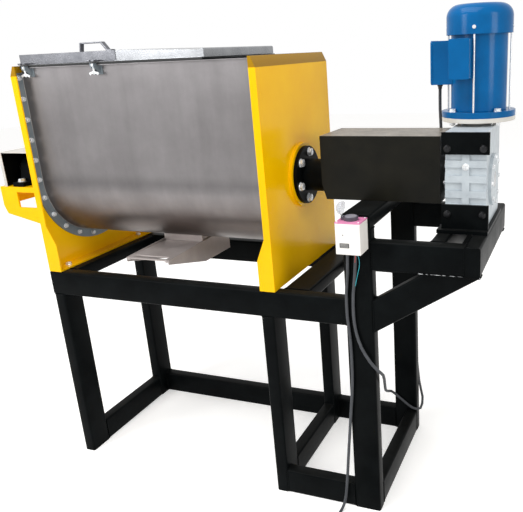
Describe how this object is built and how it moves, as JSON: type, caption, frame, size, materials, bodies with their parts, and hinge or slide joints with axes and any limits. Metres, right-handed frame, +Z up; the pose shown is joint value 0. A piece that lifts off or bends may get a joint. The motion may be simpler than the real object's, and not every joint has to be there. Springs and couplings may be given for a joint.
{
  "type": "ribbon blender",
  "caption": "Floor-standing ribbon blender with a U-shaped steel trough between yellow end plates, hinged lids, a slide gate and a vertical motor on a worm gearbox.",
  "frame": {"origin": "centre of the underside of the middle floor rail, on the floor under the shaft", "axes": "+X along the shaft towards the drive, -Y towards the gate and the control box, +Z up"},
  "size_m": [2.1815, 0.9777, 1.783],
  "materials": {
    "frame_paint": "satin black enamel",
    "yellow_paint": "gloss yellow enamel",
    "stainless": "brushed stainless sheet",
    "zinc": "zinc plated fasteners",
    "gear_case": "pale blue-silver cast housing",
    "motor_blue": "gloss blue enamel",
    "grey_paint": "light grey paint",
    "white_plastic": "white moulded box",
    "pink_plastic": "pink moulded top",
    "grey_plastic": "light grey moulding",
    "clear_plastic": "clear moulding",
    "seal_rubber": "black rubber",
    "cord_rubber": "grey rubber sheath",
    "black_plastic": "black moulding",
    "shaft_steel": "turned steel",
    "bronze": "cast bronze",
    "core_steel": "laminated steel"
  },
  "bodies": {
    "frame": {"trough_legs": "frame_paint", "drive_legs": "frame_paint", "long_rails": "frame_paint", "cross_rails": "frame_paint", "floor_rails": "frame_paint", "platform_beams": "frame_paint", "platform_braces": "frame_paint", "saddle_beam": "frame_paint", "left_end_plate": "yellow_paint", "right_end_plate": "yellow_paint", "trough_shell": "stainless", "trough_flanges": "stainless", "flange_bolts": "zinc", "foot_bolts": "zinc", "bearing_bracket": "yellow_paint", "pillow_block": "frame_paint", "bearing_hood": "grey_paint", "seal_housings": "frame_paint", "seal_bolts": "zinc", "drive_guard": "frame_paint", "gearbox_housing": "gear_case", "gearbox_brackets": "frame_paint", "gearbox_bolts": "zinc", "motor_adapter": "grey_paint", "motor_flange": "motor_blue", "motor_frame": "motor_blue", "stator": "core_steel", "fan_cowl": "motor_blue", "terminal_box": "motor_blue", "capacitor_box": "motor_blue", "tie_rods": "zinc", "discharge_neck": "stainless", "discharge_spout": "stainless", "control_box": "white_plastic", "control_box_top": "pink_plastic", "cable_glands": "black_plastic", "lid_fittings": "stainless", "rim_seals": "seal_rubber", "deck_plate": "frame_paint", "supply_cord": "cord_rubber", "cord_coil": "cord_rubber", "supply_plug": "black_plastic", "motor_cord": "cord_rubber"},
    "agitator": {"main_shaft": "shaft_steel", "drive_shaft": "shaft_steel", "shaft_coupling": "frame_paint", "ribbon_arms": "stainless", "outer_ribbons": "stainless", "inner_ribbons": "stainless", "worm_wheel": "bronze"},
    "motor_rotor": {"rotor": "shaft_steel", "fan": "black_plastic"},
    "lid": {"lid": "stainless", "lid_hardware": "stainless"},
    "feed_cover": {"feed_cover": "stainless"},
    "swing_left": {"swing_bolt_left": "zinc"},
    "swing_right": {"swing_bolt_right": "zinc"},
    "gate": {"gate_plate": "stainless"},
    "button": {"push_button": "grey_plastic"},
    "button_guard": {"button_guard": "clear_plastic"}
  },
  "joints": [
    {"name": "agitator_spin", "type": "hinge", "parent": "frame", "child": "agitator", "pos_m": [-0.4725, 0, 1.215], "axis": [1, 0, 0], "continuous": true},
    {"name": "motor_spin", "type": "hinge", "parent": "frame", "child": "motor_rotor", "pos_m": [0.6805, 0.11, 1.5], "axis": [0, 0, 1], "continuous": true},
    {"name": "lid_hinge", "type": "hinge", "parent": "frame", "child": "lid", "pos_m": [-0.75, 0.2835, 1.6703], "axis": [-1, 0, 0], "range_deg": [0, 100]},
    {"name": "feed_cover_hinge", "type": "hinge", "parent": "frame", "child": "feed_cover", "pos_m": [-0.3495, 0.2835, 1.6703], "axis": [-1, 0, 0], "range_deg": [0, 100]},
    {"name": "swing_left_hinge", "type": "hinge", "parent": "frame", "child": "swing_left", "pos_m": [-0.9304, -0.28, 1.645], "axis": [-1, 0, 0], "range_deg": [0, 180]},
    {"name": "swing_right_hinge", "type": "hinge", "parent": "frame", "child": "swing_right", "pos_m": [-0.6136, -0.28, 1.645], "axis": [-1, 0, 0], "range_deg": [0, 180]},
    {"name": "gate_slide", "type": "slide", "parent": "frame", "child": "gate", "axis": [0, 1, 0], "range_m": [0, 0.19]},
    {"name": "button_press", "type": "slide", "parent": "frame", "child": "button", "axis": [0, 0, 1], "range_m": [-0.005, 0], "stiffness_N_per_m": 800},
    {"name": "button_guard_hinge", "type": "hinge", "parent": "frame", "child": "button_guard", "pos_m": [0.327, -0.338, 1.151], "axis": [0, 1, 0], "range_deg": [0, 80]}
  ],
  "couplings": [
    {"joint": "motor_spin", "follows": "agitator_spin", "ratio": 36}
  ]
}
